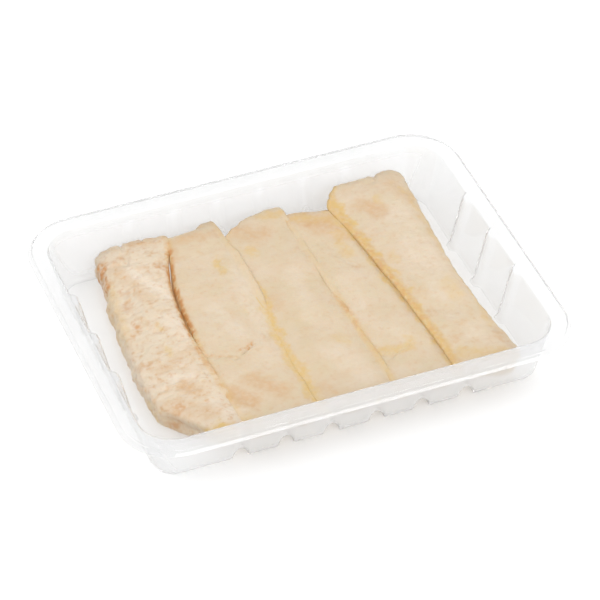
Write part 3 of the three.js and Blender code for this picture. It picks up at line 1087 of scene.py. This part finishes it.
def flesh_colour(finish, cod, flaky, across):
    """Cream flesh with peach streaks, under the stain marks and the painted seam shade that the
    attribute holds
    """
    stain_and_seam_shade = finish.node("ShaderNodeAttribute", attribute_name="stain_and_seam_shade")
    parts = finish.node("ShaderNodeSeparateColor", {"Color": stain_and_seam_shade.outputs["Color"]}).outputs
    grain = finish.pattern(STAIN_GRAIN)
    layers = (
        (finish.pattern(BROAD_TINT), cod.pale),
        (finish.pattern(STREAKS, across), cod.peach),
        (finish.pattern(BLOTCHES), cod.pale),
        (finish.product(flaky, RAGGED_PALENESS), cod.pale_spot),
        (finish.product(finish.pattern(MOTTLES), flaky), cod.peach),
        (finish.product(parts["Red"], grain), cod.pale_spot),
        (finish.product(parts["Green"], grain), cod.peach),
        # Blue and alpha also hold the seams' ochre and rust, which are partly painted shade in the
        # crevices
        (finish.product(parts["Blue"], grain), cod.ochre),
        (finish.product(stain_and_seam_shade.outputs["Alpha"], finish.pattern(STAIN_PATCHES)), cod.rust),
        (finish.product(finish.product(finish.pattern(SPECKS), flaky), SPECK_STRENGTH), cod.rust),
    )
    base = colour(cod.flesh)
    for share, tint in layers:
        base = finish.mix(share, base, colour(tint))
    return base


def flesh_finish(cod):
    """Moist flesh, with fibres where a strip is ragged and fine grain elsewhere"""
    finish = Finish("cod_flesh")
    finish.set(
        roughness=0.45, subsurface_weight=0.2, subsurface_scale=0.004,
        subsurface_radius=(1.0, 0.6, 0.35))
    flaky = finish.node("ShaderNodeAttribute", attribute_name="flaky").outputs["Fac"]
    across = finish.node(
        "ShaderNodeMapping", {"Vector": finish.place(), "Scale": FIBRE_STRETCH}).outputs["Vector"]
    finish.feed(finish.shader.inputs["Base Color"], flesh_colour(finish, cod, flaky, across))
    grain = finish.product(finish.noise(*FLESH_GRAIN), GRAIN_HEIGHT)
    finish.bump(finish.mix(flaky, grain, finish.noise(*FLESH_FIBRES, across)), *FLESH_BUMP)
    finish.let_light_through(finish.shader.outputs["BSDF"], FLESH_GLOW, cod.light_through)
    return finish.material


def floor_finish(view):
    """A plain pale floor without gloss"""
    finish = Finish("pale_floor")
    finish.set(roughness=0.9, specular_ior_level=0.0)
    clouds = finish.noise(*FLOOR_CLOUDS)
    tint = finish.mix(clouds, colour(view.floor), colour(view.floor, FLOOR_SHADE))
    finish.feed(finish.shader.inputs["Base Color"], tint)
    return finish.material


# Stage


def aim(item, location, target):
    """Puts a lamp or the camera at a place and turns it to its target"""
    item.location = location
    item.rotation_mode = "QUATERNION"
    item.rotation_quaternion = (Vector(target) - Vector(location)).to_track_quat("-Z", "Y")


def add_softbox(name, power, direction, distance, size):
    """A soft lamp that looks at the tray"""
    bpy.ops.object.light_add(type="AREA")
    light = bpy.context.active_object
    light.name = name
    light.data.shape = "RECTANGLE"
    light.data.size, light.data.size_y = size
    light.data.energy = power
    light.visible_camera = False
    aim(light, Vector(direction).normalized() * distance, LIGHT_TARGET)


def build_camera(view):
    """The camera at the photograph's angle"""
    azimuth, elevation = math.radians(view.azimuth), math.radians(view.elevation)
    level = math.cos(elevation)
    back = Vector((math.sin(azimuth) * level, -math.cos(azimuth) * level, math.sin(elevation)))
    target = Vector(view.target)
    bpy.ops.object.camera_add()
    camera = bpy.context.active_object
    camera.data.sensor_width = SENSOR
    camera.data.lens = view.lens
    camera.data.clip_start, camera.data.clip_end = CLIP_RANGE
    aim(camera, target + back * view.distance, target)
    bpy.context.scene.camera = camera


def bright_room(view):
    """Surroundings that are white overhead and greyer towards the horizon"""
    world = bpy.data.worlds.new("bright_room")
    world.use_nodes = True
    tree = world.node_tree
    place = tree.nodes.new("ShaderNodeTexCoord")
    split = tree.nodes.new("ShaderNodeSeparateXYZ")
    tree.links.new(place.outputs["Generated"], split.inputs["Vector"])
    ramp = tree.nodes.new("ShaderNodeMapRange")
    ramp.interpolation_type = "SMOOTHSTEP"
    ramp.inputs["From Min"].default_value = 0.0
    ramp.inputs["From Max"].default_value = ROOM_EDGE
    ramp.inputs["To Min"].default_value = view.horizon
    ramp.inputs["To Max"].default_value = view.ambient
    tree.links.new(split.outputs["Z"], ramp.inputs["Value"])
    tree.links.new(ramp.outputs["Result"], tree.nodes["Background"].inputs["Strength"])
    tree.nodes["Background"].inputs["Color"].default_value = (1.0, 1.0, 1.0, 1.0)
    return world


def build_stage(view):
    """The floor, the lights, the surroundings and the camera"""
    bpy.ops.object.select_all(action="DESELECT")
    bpy.ops.mesh.primitive_plane_add(size=FLOOR_SIZE, location=(0, 0, 0))
    floor = bpy.context.active_object
    floor.name = "floor"
    floor.data.materials.append(floor_finish(view))

    add_softbox("key_behind", view.key_power, *KEY_BOX)
    add_softbox("fill_in_front", view.fill_power, *FILL_BOX)

    bpy.context.scene.world = bright_room(view)
    bpy.context.scene.view_settings.view_transform = "Standard"
    build_camera(view)


# Operators


class SALTCOD_OT_tray(Operator):
    """Forms the clear plastic tray"""

    bl_idname = "saltcod.tray"
    bl_label = "Tray"

    def execute(self, context):
        tray = context.scene.saltcod_tray
        build_tray(tray, plastic_finish(tray))
        return {"FINISHED"}


class SALTCOD_OT_strips(Operator):
    """Shapes the five strips of salt cod"""

    bl_idname = "saltcod.strips"
    bl_label = "Strips"

    def execute(self, context):
        tray, cod = context.scene.saltcod_tray, context.scene.saltcod_flesh
        material = flesh_finish(cod)
        for number in range(1, len(RAGGED) + 1):
            build_strip(number, tray, cod, material)
        return {"FINISHED"}


class SALTCOD_OT_stage(Operator):
    """Sets the floor, the lights and the camera"""

    bl_idname = "saltcod.stage"
    bl_label = "Stage"

    def execute(self, context):
        build_stage(context.scene.saltcod_view)
        return {"FINISHED"}


class SALTCOD_PT_panel(Panel):
    """Lists the steps in the sidebar"""

    bl_label = "Salt cod tray"
    bl_space_type = "VIEW_3D"
    bl_region_type = "UI"
    bl_category = "Salt cod"

    def draw(self, context):
        for operator in OPERATORS:
            self.layout.operator(operator.bl_idname)


OPERATORS = (SALTCOD_OT_tray, SALTCOD_OT_strips, SALTCOD_OT_stage)
SETTINGS = {"saltcod_tray": TraySheet, "saltcod_flesh": CodFlesh, "saltcod_view": StudioView}


def register():
    for kind in (*SETTINGS.values(), *OPERATORS, SALTCOD_PT_panel):
        bpy.utils.register_class(kind)
    for name, kind in SETTINGS.items():
        setattr(bpy.types.Scene, name, PointerProperty(type=kind))


def unregister():
    for name in SETTINGS:
        delattr(bpy.types.Scene, name)
    for kind in reversed((*SETTINGS.values(), *OPERATORS, SALTCOD_PT_panel)):
        bpy.utils.unregister_class(kind)


def main():
    register()
    bpy.ops.saltcod.tray()
    bpy.ops.saltcod.strips()
    bpy.ops.saltcod.stage()


if __name__ == "__main__":
    main()
